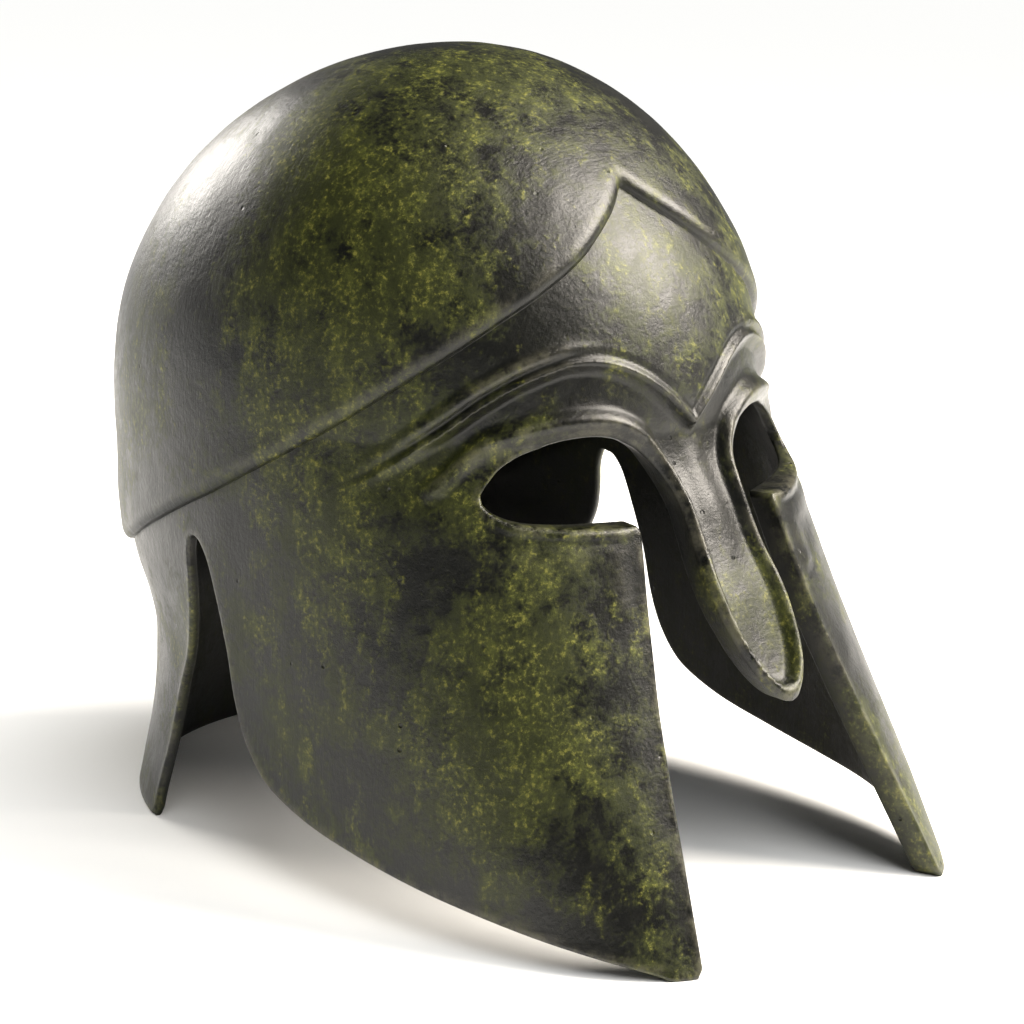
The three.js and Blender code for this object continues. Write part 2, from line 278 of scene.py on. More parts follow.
@dataclass(frozen=True)
class HelmetForm:
    """Plain surface of the helmet, under the raised skull and the ridges.

    Attributes:
        axis_y: how far the skull's axis lies behind the middle of the length.
        base: height at which the dome of the skull begins.
        rise: height of the dome above that.
        side, front, back: reach of the dome at its base.
        lean: how far the crown lies forward of the axis.
        fullness: fullness of the dome at the side, front and back, 0 for an ellipse.
        raised: how far the skull stands proud of the forehead plate.
        wall: general wall.
        front_wall: wall along the nasal and the cheeks' front edges.
    """

    axis_y: float = 19.4
    base: float = 150.0
    rise: float = 114.0
    side: float = 100.0
    front: float = 114.5
    back: float = 132.4
    lean: float = -4.0
    fullness: tuple[float, float, float] = (0.15, -0.22, -0.155)
    raised: float = 3.5
    wall: float = 3.8
    front_wall: float = 8.8

    def surface(self, bearing: Array, height: Array) -> Array:
        """Return points of the plain surface.

        A level section is a superellipse about the axis: ahead |x/side|^n + |y/front|^n = 1, and
        behind the same with n = 2.02 and the reach to the back. In the dome the reaches shrink as
        sqrt(1 - s^2) (1 + fullness s^2), where s goes from 0 at its base to 1 at the crown.

        Args:
            bearing: bearings in degrees.
            height: heights.

        Returns:
            Points, with one more axis than the bearings.
        """
        angle = np.radians(bearing)
        s = np.clip((height - self.base) / self.rise, 0.0, 1.0)
        shrink = np.sqrt(1.0 - s * s)
        side_full, front_full, back_full = (shrink * (1.0 + k * s * s) for k in self.fullness)
        dome = height > self.base
        blend = 1.0 - ease((height - self.base) / 25.0)
        side = np.where(dome, self.side * side_full, read(SECTIONS, height, 1))
        front = np.where(dome, (self.front + 0.3 * blend) * front_full, read(SECTIONS, height, 2))
        square = np.where(dome, 2.0 + 0.04 * blend, read(SECTIONS, height, 3))
        back = np.where(dome, self.back * back_full, read(SECTIONS, height, 4))
        nape = np.where(dome, side, read(SECTIONS, height, 5))
        ahead = np.cos(angle) > 0.0
        turn = ease((np.abs(bearing) - 88.0) / 30.0)
        wide = np.maximum(np.where(ahead, side, side * (1.0 - turn) + nape * turn), 1e-6)
        deep = np.maximum(np.where(ahead, front, back), 1e-6)
        power = np.where(ahead, square, 2.02)
        across = (np.abs(np.sin(angle)) / wide) ** power
        along = (np.abs(np.cos(angle)) / deep) ** power
        radius = (across + along) ** (-1.0 / power)
        x = radius * np.sin(angle)
        y = self.lean * s - radius * np.cos(angle)
        nasal = read(NASAL, height) * (1.0 - ease((np.abs(x) - 14.0) / 14.0))
        y = y - np.where(ahead & (height < 145.0), nasal, 0.0)
        return np.stack([x, y, height + 0.0 * x], axis=-1)

    def normal(self, bearing: Array, height: Array) -> Array:
        """Return outward unit normals, from the cross product of two short chords."""
        high = np.minimum(height + 0.3, self.base + self.rise - 0.01)
        around = self.surface(bearing + 0.1, height) - self.surface(bearing - 0.1, height)
        upward = self.surface(bearing, high) - self.surface(bearing, high - 0.6)
        out = np.cross(around, upward)
        return out / np.maximum(np.linalg.norm(out, axis=-1, keepdims=True), 1e-12)

    @staticmethod
    def outward(bearing: Array) -> Array:
        """Return level unit vectors that point straight out from the axis."""
        angle = np.radians(bearing)
        return np.stack([np.sin(angle), -np.cos(angle), 0.0 * angle], axis=-1)

    @staticmethod
    def step_height(bearing: Array) -> Array:
        """Return the height of the step around the raised skull."""
        return read(STEP_LINE, np.abs(bearing))

    def wall_depth(self, bearing: Array, height: Array) -> Array:
        """Return how deep the inside of the wall lies below the plain surface."""
        near_front = 1.0 - ease((np.abs(bearing) - 17.0) / 22.0)
        below_brow = 1.0 - ease((height - 138.0) / 26.0)
        under_skull = ease((height - self.step_height(bearing) + 6.0) / 12.0)
        extra = (self.front_wall - self.wall) * near_front * below_brow
        return self.wall + extra - (self.raised - 0.6) * under_skull

    @staticmethod
    def unevenness(points: Array) -> Array:
        """Return how far the cast surface dips at each point, from 0 to about 0.35 mm.

        It is a sum of sine waves in fixed directions, with wavelengths from 9 to 60 mm, which is
        how a cast that was worked over by hand undulates.
        """
        source = np.random.default_rng(7)
        total = np.zeros(points.shape[:-1])
        for wavelength, height in ((60.0, 0.10), (34.0, 0.07), (21.0, 0.05), (13.0, 0.03), (9.0, 0.02)):
            for _ in range(4):
                direction = source.normal(size=3)
                direction /= np.linalg.norm(direction)
                phase = source.uniform(0.0, 2.0 * math.pi)
                wave = np.sin(points @ direction * (2.0 * math.pi / wavelength) + phase)
                total += 0.5 * height * wave
        return np.clip(0.17 - total, 0.0, None)


@dataclass
class Sheet:
    """Triangles laid on the helmet's surface, with a row of values for each point.

    Attributes:
        values: one row for each point, with the columns of Field.
        faces: three point numbers for each triangle, facing outward.
    """

    values: Array
    faces: Array

    @classmethod
    def grid(cls, bearings: Array, heights: Array) -> "Sheet":
        """Make a closed band of triangles from bearings right round and rising heights."""
        around, up = np.meshgrid(bearings, heights)
        values = np.zeros((around.size, len(Field)))
        values[:, Field.BEARING] = around.ravel()
        values[:, Field.HEIGHT] = up.ravel()
        return cls(values, band_faces(len(bearings), len(heights)))

    def column(self, field: Field) -> Array:
        """Return one value of every point."""
        return self.values[:, field]

    def divided(self, field: Field, level: float, snap: float = 0.02) -> "Sheet":
        """Divide the triangles that cross a level of one value, along that level.

        A new point lies on each crossed side, where the value, read straight along the side,
        reaches the level. A point nearer than snap to the level counts as on it.

        Args:
            field: the value that the cut follows.
            level: the level of that value.
            snap: how near counts as on the level.

        Returns:
            The divided sheet.
        """
        values = self.values.copy()
        gap = values[:, field] - level
        near = np.abs(gap) < snap
        values[near, field] = level
        gap[near] = 0.0
        side = np.sign(gap).astype(int)[self.faces]
        crossed = (side.min(axis=1) < 0) & (side.max(axis=1) > 0)
        cut, side = self.faces[crossed], side[crossed]
        touching = (side == 0).any(axis=1)
        alone = np.argmax(side == -side.sum(axis=1, keepdims=True), axis=1)
        first = np.where(touching, np.argmin(np.abs(side), axis=1), alone)
        cut = np.take_along_axis(cut, (first[:, None] + np.arange(3)) % 3, axis=1)
        two, three = cut[touching], cut[~touching]
        sides = np.vstack([two[:, [1, 2]], three[:, [0, 1]], three[:, [0, 2]]])
        unique, which = np.unique(np.sort(sides, axis=1), axis=0, return_inverse=True)
        a, b = unique.T
        t = (gap[a] / (gap[a] - gap[b]))[:, None]
        change = values[b] - values[a]
        change[:, Field.BEARING] = (change[:, Field.BEARING] + 180.0) % 360.0 - 180.0
        added = values[a] + change * t
        added[:, field] = level
        new = which.ravel() + len(values)
        m, p, q = np.split(new, [len(two), len(two) + len(three)])
        faces = [
            self.faces[~crossed],
            np.stack([two[:, 0], two[:, 1], m], axis=1),
            np.stack([two[:, 0], m, two[:, 2]], axis=1),
            np.stack([three[:, 0], p, q], axis=1),
            np.stack([p, three[:, 1], three[:, 2]], axis=1),
            np.stack([p, three[:, 2], q], axis=1),
        ]
        return Sheet(np.vstack([values, added]), np.vstack(faces))

    def kept(self, field: Field, level: float, above: bool = True) -> "Sheet":
        """Keep the triangles on one side of a level, along which the sheet was divided."""
        middle = self.values[self.faces, field].mean(axis=1)
        faces = self.faces[(middle > level) == above]
        used, faces = np.unique(faces, return_inverse=True)
        return Sheet(self.values[used], faces.reshape(-1, 3))

    def border(self) -> Array:
        """Return the sides that only one triangle has, each in that triangle's direction."""
        sides = np.vstack([self.faces[:, [0, 1]], self.faces[:, [1, 2]], self.faces[:, [2, 0]]])
        _, first, count = np.unique(
            np.sort(sides, axis=1), axis=0, return_index=True, return_counts=True
        )
        return sides[first[count == 1]]


def band_faces(around: int, up: int) -> Array:
    """Return the triangles of a closed band of points, row after row, facing outward."""
    row, place = np.meshgrid(np.arange(up - 1), np.arange(around), indexing="ij")
    a = (row * around + place).ravel()
    b = (row * around + (place + 1) % around).ravel()
    lower = np.stack([a, b, b + around], axis=1)
    upper = np.stack([a, b + around, a + around], axis=1)
    return np.vstack([lower, upper])


def per_metre(size: float) -> float:
    """Return the scale at which a pattern's features measure size millimetres."""
    return 1.0 / (size * MM)


def add(tree: bpy.types.NodeTree, kind: str, settings: dict | None = None,
        inputs: dict | None = None, output: str | int = 0) -> Socket:
    """Add a node to a tree.

    Args:
        tree: the tree that gets the node.
        kind: the node's type name.
        settings: properties of the node.
        inputs: for each input, by name or number, a constant or the output that feeds it.
        output: name or number of the output that is wanted.

    Returns:
        That output of the new node.
    """
    node = tree.nodes.new(kind)
    for name, value in (settings or {}).items():
        setattr(node, name, value)
    for name, value in (inputs or {}).items():
        if isinstance(value, Socket):
            tree.links.new(value, node.inputs[name])
        else:
            node.inputs[name].default_value = value
    return node.outputs[output]


@dataclass(frozen=True)
class PatinatedBronze:
    """Cast bronze, darkened with a liver-of-sulphur patina, glazed green and waxed.

    The metal itself shows only as a warm sheen. The eye sees a nearly black skin with a soft wax
    gloss, olive glaze that lies on it in clouds and has run down in drips, ochre where the glaze
    is thick, and a fine sandy grain with a few casting pits. Creases and the inside are darkened
    as painted shade, and rubbed edges and crests carry a painted highlight. Sizes are real sizes
    in millimetres.
    """

    black: str = "#040503"
    charcoal: str = "#0f100b"
    olive: str = "#242809"
    moss: str = "#474b17"
    ochre: str = "#7d7833"
    # Grey-beige of rubbed wear, also used as a painted highlight.
    worn_and_highlight: str = "#8a8570"
    cloud: float = 55.0
    fleck: float = 8.0
    grain: float = 1.8
    pit: float = 11.0
    pit_patch: float = 30.0
    drip: float = 8.0
    scratch: float = 9.0
    relief_depth: float = 0.9

    def material(self) -> bpy.types.Material:
        """Build the finish.

        Returns:
            The material, which reads Object coordinates and the values that the pieces carry:
            painted shade in creases and on the inside, and rubbed wear with a painted highlight.
        """
        material = bpy.data.materials.new("patinated_cast_bronze")
        material.use_nodes = True
        tree = material.node_tree
        tree.nodes.clear()
        place = add(tree, "ShaderNodeTexCoord", output="Object")
        clouds = add(tree, NOISE, {}, {"Vector": place, "Scale": per_metre(self.cloud),
                                       "Detail": 6.0, "Roughness": 0.66})
        flecks = add(tree, NOISE, {}, {"Vector": place, "Scale": per_metre(self.fleck),
                                       "Detail": 8.0, "Roughness": 0.72})
        grains = add(tree, NOISE, {}, {"Vector": place, "Scale": per_metre(self.grain),
                                       "Detail": 4.0, "Roughness": 0.7})
        # Painted crease shade, rubbed wear with a painted highlight, and painted shade on the inside.
        painted_crease_shade, wear_and_highlight, inside = (
            add(tree, "ShaderNodeAttribute", {"attribute_name": name}, output="Fac")
            for name in ("painted_crease_shade", "wear_and_highlight", "inside")
        )
        pits = self.pits(tree, place)
        green, bright = self.glaze(tree, place, clouds, flecks, grains)

        # Each layer of colour lies on the ones before it: how much of it, and what it is.
        dark = add(tree, RANGE, SMOOTH, {"Value": flecks, "From Min": 0.35, "From Max": 0.7})
        gritty = add(tree, RANGE, SMOOTH, {"Value": grains, "From Min": 0.52, "From Max": 0.72})
        ochre = add(tree, MATH, MULTIPLY, {0: bright, 1: gritty})
        specks = add(tree, RANGE, SMOOTH, {"Value": grains, "From Min": 0.60, "From Max": 0.78})
        rubbed = add(tree, RANGE, SMOOTH, {"Value": flecks, "From Min": 0.40, "From Max": 0.62})
        scuffs_and_highlight = add(tree, MATH, MULTIPLY, {0: wear_and_highlight, 1: rubbed})
        colour = linear(self.black)
        for share, amount, tint in (
            (dark, 1.0, self.charcoal),
            (green, 0.85, self.olive),
            (bright, 0.75, self.moss),
            (ochre, 0.7, self.ochre),
            (specks, 0.3, self.moss),
            # Rubbed edges and crests turn grey-beige: partly real wear, partly a painted highlight.
            (scuffs_and_highlight, 0.2, self.worn_and_highlight),
            # Painted shade: the creases are darkened towards black.
            (painted_crease_shade, 0.6, self.black),
            # Painted shade: the inside is darkened towards black.
            (inside, 0.75, self.black),
            (pits, 0.8, self.black),
        ):
            cover = add(tree, MATH, MULTIPLY, {0: share, 1: amount})
            colour = add(tree, "ShaderNodeMix", {"data_type": "RGBA"},
                         {"Factor": cover, 6: colour, 7: linear(tint)}, output=2)

        # Glaze and flecks are duller than the waxed black, and worn places are polished.
        rough = add(tree, MATH, MULTIPLY_ADD, {0: green, 1: 0.12, 2: 0.29})
        rough = add(tree, MATH, MULTIPLY_ADD, {0: flecks, 1: 0.16, 2: rough})
        rough = add(tree, MATH, MULTIPLY_ADD, {0: wear_and_highlight, 1: -0.08, 2: rough})
        rough = add(tree, MATH, MULTIPLY_ADD, {0: inside, 1: 0.2, 2: rough})

        shader = add(tree, "ShaderNodeBsdfPrincipled", {}, {
            "Base Color": colour,
            "Roughness": rough,
            "Normal": self.bumps(tree, place, flecks, grains, pits),
            "Metallic": 0.1,
            "Specular IOR Level": 0.42,
            "Coat Weight": 0.06,
            "Coat Roughness": 0.2,
        })
        out = tree.nodes.new("ShaderNodeOutputMaterial")
        tree.links.new(shader, out.inputs["Surface"])
        return material

    def glaze(self, tree: bpy.types.NodeTree, place: Socket, clouds: Socket, flecks: Socket,
              grains: Socket) -> tuple[Socket, Socket]:
        """Add the nodes for the green glaze.

        Args:
            tree: the tree that gets them.
            place: Object coordinates.
            clouds, flecks, grains: noise of three sizes.

        Returns:
            Where the olive lies in clouds, and where it is thick and has run down.
        """
        thin_flecks = add(tree, MATH, MULTIPLY, {0: flecks, 1: 0.55})
        broken = add(tree, MATH, MULTIPLY_ADD, {0: grains, 1: 0.45, 2: thin_flecks})
        wide_clouds = add(tree, MATH, MULTIPLY, {0: clouds, 1: 0.85})
        mixed = add(tree, MATH, MULTIPLY_ADD, {0: broken, 1: 0.62, 2: wide_clouds})
        green = add(tree, RANGE, SMOOTH, {"Value": mixed, "From Min": 0.685, "From Max": 0.80})

        # A drip is five times as long as it is wide.
        stretched = add(tree, "ShaderNodeMapping", {}, {"Vector": place, "Scale": (1.0, 1.0, 0.2)})
        drips = add(tree, NOISE, {}, {"Vector": stretched, "Scale": per_metre(self.drip),
                                      "Detail": 5.0, "Roughness": 0.62})
        where = add(tree, MATH, MULTIPLY, {0: clouds, 1: 0.8})
        run = add(tree, MATH, MULTIPLY_ADD, {0: drips, 1: 0.55, 2: where})
        running = add(tree, RANGE, SMOOTH, {"Value": run, "From Min": 0.655, "From Max": 0.775})
        patchy = add(tree, RANGE, SMOOTH, {"Value": broken, "From Min": 0.44, "From Max": 0.62})
        return green, add(tree, MATH, MULTIPLY, {0: running, 1: patchy})

    def pits(self, tree: bpy.types.NodeTree, place: Socket) -> Socket:
        """Add the nodes for the few pits, left where gas met the mould, and return where they are."""
        cells = add(tree, "ShaderNodeTexVoronoi", {},
                    {"Vector": place, "Scale": per_metre(self.pit)}, output="Distance")
        away = add(tree, RANGE, SMOOTH, {"Value": cells, "From Min": 0.03, "From Max": 0.09})
        close = add(tree, MATH, {"operation": "SUBTRACT"}, {0: 1.0, 1: away})
        patches = add(tree, NOISE, {}, {"Vector": place, "Scale": per_metre(self.pit_patch),
                                        "Detail": 2.0, "Roughness": 0.6})
        porous = add(tree, RANGE, SMOOTH, {"Value": patches, "From Min": 0.52, "From Max": 0.6})
        return add(tree, MATH, MULTIPLY, {0: close, 1: porous})

    def bumps(self, tree: bpy.types.NodeTree, place: Socket, flecks: Socket, grains: Socket,
              pits: Socket) -> Socket:
        """Add the nodes for the fine relief.

        Args:
            tree: the tree that gets them.
            place: Object coordinates.
            flecks, grains: noise of two sizes, which the skin follows.
            pits: where the pits are.

        Returns:
            The normal of the surface.
        """
        scraped = add(tree, "ShaderNodeMapping", {}, {
            "Vector": place, "Rotation": (0.3, 0.9, 0.5), "Scale": (1.0, 14.0, 1.0),
        })
        scratches = add(tree, NOISE, {}, {"Vector": scraped, "Scale": per_metre(self.scratch),
                                          "Detail": 3.0, "Roughness": 0.5})
        relief = add(tree, MATH, MULTIPLY, {0: grains, 1: 0.22})
        relief = add(tree, MATH, MULTIPLY_ADD, {0: flecks, 1: 0.5, 2: relief})
        relief = add(tree, MATH, MULTIPLY_ADD, {0: scratches, 1: 0.1, 2: relief})
        relief = add(tree, MATH, MULTIPLY_ADD, {0: pits, 1: -1.6, 2: relief})
        return add(tree, "ShaderNodeBump", {}, {
            "Height": relief, "Strength": 0.8, "Distance": self.relief_depth * MM,
        })


@dataclass
class CastPiece:
    """One piece of the casting: its mesh, its finish and its place in the CAD frame.

    Attributes:
        name: name of the piece.
        form: the plain surface that the piece is laid on.
    """

    name: str
    form: HelmetForm

    def place(self, points: Array, faces: Array, carried: dict[str, Array],
              material: bpy.types.Material) -> bpy.types.Object:
        """Make the piece's object, with its place in its mesh.

        Args:
            points: points about the skull's axis, in millimetres.
            faces: point numbers of the triangles.
            carried: values that the finish reads, by name, one for each point.
            material: the finish.

        Returns:
            The object, which rides on the helmet and stands for its CAD node.
        """
        mesh = bpy.data.meshes.new(self.name)
        metres = (points + np.array([0.0, self.form.axis_y, 0.0])) * MM
        mesh.vertices.add(len(metres))
        mesh.vertices.foreach_set("co", metres.ravel())
        mesh.loops.add(faces.size)
        mesh.loops.foreach_set("vertex_index", faces.ravel())
        mesh.polygons.add(len(faces))
        mesh.polygons.foreach_set("loop_start", np.arange(0, faces.size, 3))
        mesh.polygons.foreach_set("use_smooth", np.ones(len(faces), bool))
        mesh.update(calc_edges=True)
        mesh.validate()
        for name, values in carried.items():
            layer = mesh.attributes.new(name, "FLOAT", "POINT")
            layer.data.foreach_set("value", values.astype(np.float32))
        mesh.materials.append(material)
        piece = bpy.data.objects.new(self.name, mesh)
        bpy.context.collection.objects.link(piece)
        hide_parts("helmet_shell")
        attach(piece, "root")
        return piece


@dataclass(frozen=True)
class Ridge:
    """A smooth ridge along a line, or a groove where its height is negative.

    Attributes:
        centre: how far its crest lies from the line.
        half_width: half its width.
        height: how far it stands proud.
    """

    centre: float
    half_width: float
    height: float

    def across(self, distance: Array) -> Array:
        """Return its height at distances from the line."""
        return self.height * hump(distance, self.centre, self.half_width)


@dataclass
class Face(CastPiece):
    """Forehead plate, brow ridges, eyes, nasal, cheeks and neck guard, in one closed body.

    Attributes:
        round_edge: radius of the edges of the openings.
        tuck: how far the plate runs on under the raised skull.
        rim_height: how far the rim of an eye stands proud.
        panel_depth: how far the panel between brow and rim is sunk.
        flank: width of the slope from the brow down to the panel.
        crest, crest_groove: the brow over the nose, and the groove above it.
        upper, groove: the upper ridge over a temple, and the groove under it.
        sharp_centre, sharp_width, sharp_height: the sharp lower ridge under that groove.
        lip, lip_swell: the lip under an eye, and the soft swelling below it.
    """

    round_edge: float = 1.3
    tuck: float = 1.6
    rim_height: float = 1.7
    panel_depth: float = 2.5
    flank: float = 4.4
    crest: Ridge = Ridge(0.0, 2.2, 1.3)
    crest_groove: Ridge = Ridge(3.0, 1.5, -0.5)
    upper: Ridge = Ridge(3.7, 3.3, 1.7)
    groove: Ridge = Ridge(0.9, 1.4, -0.7)
    sharp_centre: float = -1.4
    sharp_width: float = 3.2
    sharp_height: float = 2.0
    lip: Ridge = Ridge(2.2, 2.2, 0.7)
    lip_swell: Ridge = Ridge(9.0, 6.0, 0.5)

    def sheet(self) -> Sheet:
        """Lay out the sheet and cut it at the openings, the base and the step line.

        The sheet is divided along lines at distances r (1 - cos a) from each edge, which carry
        the quarter round there, and along the crests of the ridges.
        """
        half = spaced((0, 50, 0.5), (50, 75, 1.0), (75, 125, 1.25), (125, 180, 2.5))
        heights = spaced((0, 60, 3.0), (60, 120, 2.0), (120, 182, 0.9), (182, 229, 2.2))
        sheet = Sheet.grid(both_ways(half), heights)
        self.measure(sheet)
        sheet = sheet.divided(Field.STEP, self.tuck).kept(Field.STEP, self.tuck, above=False)
        sheet = sheet.divided(Field.EDGE, 0.0).kept(Field.EDGE, 0.0)
        for angle in (22.0, 42.0, 62.0, 90.0):
            level = self.round_edge * (1.0 - math.cos(math.radians(angle)))
            sheet = sheet.divided(Field.EDGE, level)
        for level in (self.sharp_centre, 0.0):
            sheet = sheet.divided(Field.BROW, level)
        sheet.values[:, Field.RIM] = self.rim_distance(sheet)
        return sheet

    def measure(self, sheet: Sheet) -> None:
        """Fill in the distances of a sheet's points to the lines on the helmet."""
        bearing = np.abs(sheet.column(Field.BEARING))
        height = sheet.column(Field.HEIGHT)
        places = np.stack([bearing, height], axis=1)
        points = self.form.surface(bearing, height)
        eye = np.vstack([trace(CHEEK_FRONT), trace(EYE_LOW), trace(EYE_TOP)])
        front_loop = np.vstack([eye, [(-1.0, 70.5), (-1.0, BELOW)]])
        notch = np.vstack([[(18.3, 3.2)], trace(CHEEK_LOW), trace(NECK_SIDE)])
        notch_loop = np.vstack([notch, [(17.0, BELOW), (17.0, 3.4)]])
        sheet.values[:, Field.EDGE] = np.minimum.reduce([
            self.signed(points, eye, within(front_loop, places)),
            self.signed(points, notch, within(notch_loop, places)),
            height,
        ])
        below_brow = height < read(BROW_LINE, bearing)
        sheet.values[:, Field.BROW] = self.signed(points, trace(BROW_LINE), below_brow)
        sheet.values[:, Field.STEP] = height - self.form.step_height(bearing)

    def rim_distance(self, sheet: Sheet) -> Array:
        """Return the distances to the crest of the eye's rim, negative towards the opening."""
        bearing, height = np.abs(sheet.column(Field.BEARING)), sheet.column(Field.HEIGHT)
        rim = trace(RIM_LINE)
        rest = [[(-1.0, 74.0), (-1.0, 40.0), (17.6, 40.0)], trace(CHEEK_FRONT[3:]), trace(EYE_LOW)]
        towards = within(np.vstack([rim, *rest]), np.stack([bearing, height], axis=1))
        return self.signed(self.form.surface(bearing, height), rim, towards)

    def signed(self, points: Array, line: Array, negative: Array) -> Array:
        """Return distances to a line of bearings and heights, negative where asked."""
        away = distance_to(points, self.form.surface(line[:, 0], line[:, 1]))
        return np.where(negative, -away, away)

    def relief(self, sheet: Sheet) -> Array:
        """Return how far the ridges and hollows stand out from the plain surface.

        Near the middle the brow is one crest with a groove above it and a steep flank down to a
        sunk panel. Over the temples it is two ridges with a groove between. The rim of each eye
        rises to a crest and falls to the opening, and the nasal is hollowed between its rims.
        """
        bearing = np.abs(sheet.column(Field.BEARING))
        height = sheet.column(Field.HEIGHT)
        edge = np.maximum(sheet.column(Field.EDGE), 0.0)
        brow, rim = sheet.column(Field.BROW), sheet.column(Field.RIM)

        temple = ease((bearing - 13.0) / 16.0)
        fade = 1.0 - ease((bearing - 42.0) / 20.0)
        crest = self.crest.across(brow) + self.crest_groove.across(brow)
        from_sharp = np.abs(brow - self.sharp_centre) / self.sharp_width
        sharp = self.sharp_height * np.clip(1.0 - from_sharp, 0.0, 1.0) ** 1.3
        double = self.upper.across(brow) + sharp + self.groove.across(brow)
        out = (1.0 - temple) * crest + temple * fade * double

        on_nasal = 1.0 - ease((bearing - 6.0) / 4.0)
        sunk = self.panel_depth * (1.0 - ease((bearing - 36.0) / 18.0)) * (1.0 - on_nasal)
        sunk = sunk * (1.0 - ease((-brow - 10.0) / 12.0)) + read(NASAL_HOLLOW, height) * on_nasal
        sunk = sunk * ease((-brow - 0.2) / self.flank) * ease(rim / (4.5 - 1.0 * on_nasal))
        band = 0.9 * hump(bearing, 0.0, 3.6) * ease((height - 104.0) / 20.0) * on_nasal
        out = out - sunk + band * ease((-brow - 4.0) / 8.0)

        towards_edge = ease(-rim / np.maximum(-rim + edge, 1e-6))
        bevel = self.rim_height - (self.rim_height + 0.5) * towards_edge
        bevel = bevel * (1.0 - ease((-rim - 6.0) / 3.0))
        plain = self.rim_height * hump(rim, 0.0, 5.0 - 2.0 * on_nasal)
        end = ease((bearing - 33.0) / 7.0)
        ridge = np.where(rim < 0.0, bevel * (1.0 - end) + plain * end, plain)
        ridge = ridge * (1.0 - ease((bearing - 41.0) / 9.0))
        out = out + np.where(brow < 0.0, ridge, 0.0)

        under_eye = (height < read(EYE_LOW, bearing) + 1.0) & (height > 100.0)
        lip = self.lip.across(edge) + self.lip_swell.across(edge)
        window = ease((bearing - 15.0) / 4.0) * (1.0 - ease((bearing - 33.0) / 6.0))
        return out + np.where(under_eye, lip * window, 0.0)

    def build(self, material: bpy.types.Material) -> bpy.types.Object:
        """Make the piece.

        The outside lies at the relief above the plain surface and the inside at the wall's
        depth below it, along lines straight out from the axis. Both are drawn in by
        r (1 - sqrt(1 - (1 - d / r)^2)) at a distance d from an edge, a quarter round.
        """
        sheet = self.sheet()
        bearing, height = sheet.column(Field.BEARING), sheet.column(Field.HEIGHT)
        edge = sheet.column(Field.EDGE)
        plain = self.form.surface(bearing, height)
        normal = self.form.normal(bearing, height)
        outward = self.form.outward(bearing)
        relief = self.relief(sheet)
        inner_part = np.clip(1.0 - edge / self.round_edge, 0.0, 1.0)
        drawn_in = self.round_edge * (1.0 - np.sqrt(1.0 - inner_part**2))
        dip = self.form.unevenness(plain) * ease(edge / 3.0)
        outside = plain + normal * (relief - dip)[:, None] - outward * drawn_in[:, None]
        slant = np.clip((normal * outward).sum(axis=1), 0.5, 1.0)
        depth = self.form.wall_depth(bearing, height) / slant
        inside = plain - outward * (depth - drawn_in)[:, None]
        count = len(plain)
        a, b = sheet.border().T
        faces = np.vstack([
            sheet.faces,
            sheet.faces[:, ::-1] + count,
            np.stack([b, a, a + count], axis=1),
            np.stack([b, a + count, b + count], axis=1),
        ])
        # Painted shade: darker in the groove between the brow ridges, lighter where the relief stands
        # proud.
        painted_crease_shade = np.clip(0.5 * hump(sheet.column(Field.BROW), 0.9, 1.6) - 0.25 * relief, 0.0, 1.0)
        # Rubbed wear near the edges and on raised relief, partly a painted highlight on the crests.
        wear_and_highlight = np.clip(hump(edge, 1.0, 2.2) + 0.45 * relief, 0.0, 1.0)
        none = np.zeros(count)
        carried = {
            "painted_crease_shade": np.concatenate([painted_crease_shade, none]),
            "wear_and_highlight": np.concatenate([wear_and_highlight, none]),
            # The inside is marked for painted shade.
            "inside": np.concatenate([none, np.ones(count)]),
        }
        return self.place(np.vstack([outside, inside]), faces, carried, material)


